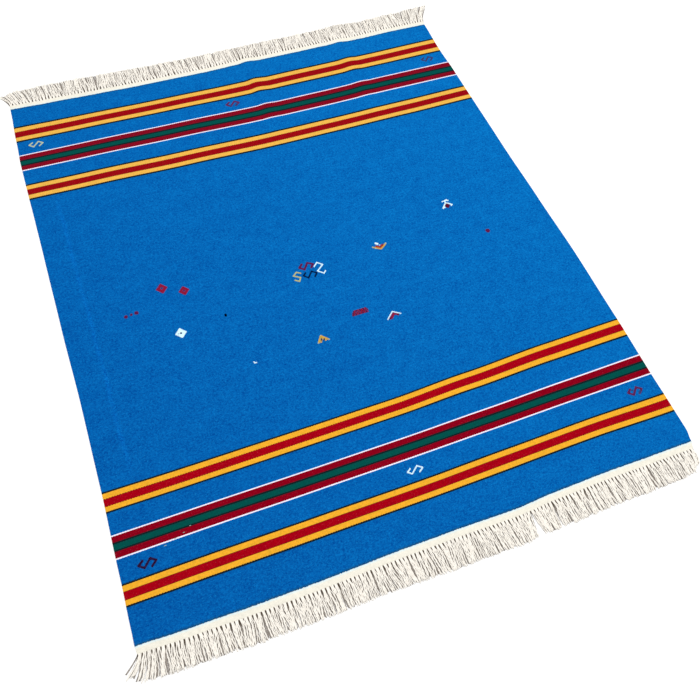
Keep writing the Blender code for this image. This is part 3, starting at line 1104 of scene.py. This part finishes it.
class KILIM_OT_field(bpy.types.Operator):
    """Weaves the blue field with its striped bands."""

    bl_idname = "kilim.field"
    bl_label = "Field"

    def execute(self, context):
        sizes, colours = settings()
        across = graded_steps(FIELD_WIDTH, CELLS_ACROSS, (sizes.rim, sizes.rim)) - HALF_WIDTH
        weft = graded_steps(FIELD_LENGTH, CELLS_ALONG, (sizes.seam_rim, sizes.seam_rim))

        def place(u, v):
            x, y = cloth_spot(u, v)
            return x, y, cloth_lift(x, y)

        material = field_material(sizes, colours)
        rims = (sizes.rim, sizes.seam_rim, sizes.seam_rim)
        cloth = pillow_sheet("field_cloth", across, weft, place, sizes.thickness, rims, material)
        settle(cloth, "dyed_wool", "field")
        return {"FINISHED"}


class KILIM_OT_webs(bpy.types.Operator):
    """Weaves the cream web at each end."""

    bl_idname = "kilim.webs"
    bl_label = "Webs"

    def execute(self, context):
        sizes, colours = settings()
        material = web_material(sizes, colours)
        across = graded_steps(FIELD_WIDTH, CELLS_ACROSS, (sizes.rim, sizes.rim)) - HALF_WIDTH
        rims = (sizes.rim, sizes.seam_rim, sizes.rim)
        outwards = graded_steps(sizes.web_width + sizes.tuck, WEB_CELLS, rims[1:]) - sizes.tuck
        for end in ("near", "far"):

            def place(u, v, end=end):
                x, y = web_spot(u, v, end)
                return x, y, cloth_lift(x, y) - TUCK_DROP * (v < 0.0)

            web = pillow_sheet(end + "_web", across, outwards, place, sizes.thickness, rims, material)
            if end == "near":
                web.data.flip_normals()
            settle(web, "cream_cotton", end + "_fringe")
        return {"FINISHED"}


class KILIM_OT_fringe(bpy.types.Operator):
    """Lays out the loose cotton yarns at each end."""

    bl_idname = "kilim.fringe"
    bl_label = "Fringe"

    def execute(self, context):
        sizes, colours = settings()
        # The loose yarns are painted with shade where they lie low, and the flat yarns below are painted
        # with the dark shade of the gaps beside the web.
        material = plied_material("Cotton yarn", colours.yarn, colours.deep_yarn, low_shade)
        shaded = plied_material("Shaded cotton yarn", colours.deep_yarn, colours.gap_shade_yarn, root_shade)
        half = (STRANDS // 2) * sizes.yarns
        for end in ("near", "far"):
            paths, radii = fringe_paths(end, sizes, YARN_STOPS)
            below = under_paths(end, sizes, UNDER_STOPS)
            pieces = [
                yarn_tubes(end + "_yarns_left", paths[:half], radii[:half], YARN_SIDES, material),
                yarn_tubes(end + "_yarns_right", paths[half:], radii[half:], YARN_SIDES, material),
                yarn_tubes(end + "_yarns_below", *below, UNDER_SIDES, shaded),
            ]
            for piece in pieces:
                settle(piece, "cream_cotton", end + "_fringe")
        return {"FINISHED"}


class KILIM_OT_ornaments(bpy.types.Operator):
    """Works the small brocaded ornaments into the field."""

    bl_idname = "kilim.ornaments"
    bl_label = "Ornaments"

    def execute(self, context):
        sizes, _ = settings()
        for name, tint in STITCH_COLOURS.items():
            parts = []
            for charts, height in ((ORNAMENTS, sizes.stitch_height), (OVERSTITCHES, sizes.over_height)):
                for _, (x, y), width, strokes in [chart for chart in charts if chart[0] == name]:
                    cuts = over_cuts((x, y)) if charts is ORNAMENTS else ()
                    legs = stroke_legs(strokes)
                    starts, ends, rows = stroke_rows(legs, width * MM, sizes.stitch_pitch, cuts)
                    parts.append((starts + x * MM, ends + x * MM, rows + y * MM, np.full(rows.size, height)))
            starts, ends, rows, heights = (np.concatenate(column) for column in zip(*parts))
            material = stitch_material(name.replace("_", " ").capitalize() + " brocade wool", linear(*tint))
            piece = stitch_pillows("ornaments_" + name, starts, ends, rows, heights, sizes, material)
            settle(piece, "dyed_wool")
        return {"FINISHED"}


class KILIM_PT_pieces(bpy.types.Panel):
    """Lists the kilim's pieces, sizes and colours."""

    bl_label = "Kilim"
    bl_idname = "KILIM_PT_pieces"
    bl_space_type = "VIEW_3D"
    bl_region_type = "UI"
    bl_category = "Kilim"

    def draw(self, context):
        for step in STEPS:
            self.layout.operator(step.bl_idname)
        for group in (context.scene.kilim_sizes, context.scene.kilim_colours):
            box = self.layout.box()
            for name in group.__annotations__:
                box.prop(group, name)


STEPS = (KILIM_OT_stage, KILIM_OT_field, KILIM_OT_webs, KILIM_OT_fringe, KILIM_OT_ornaments)
CLASSES = (KilimSizes, KilimColours, *STEPS, KILIM_PT_pieces)


def register():
    for item in CLASSES:
        bpy.utils.register_class(item)
    bpy.types.Scene.kilim_sizes = bpy.props.PointerProperty(type=KilimSizes)
    bpy.types.Scene.kilim_colours = bpy.props.PointerProperty(type=KilimColours)


def unregister():
    del bpy.types.Scene.kilim_colours
    del bpy.types.Scene.kilim_sizes
    for item in reversed(CLASSES):
        bpy.utils.unregister_class(item)


def main():
    """Makes every piece in order."""
    register()
    bpy.ops.kilim.stage()
    bpy.ops.kilim.field()
    bpy.ops.kilim.webs()
    bpy.ops.kilim.fringe()
    bpy.ops.kilim.ornaments()


if __name__ == "__main__":
    main()
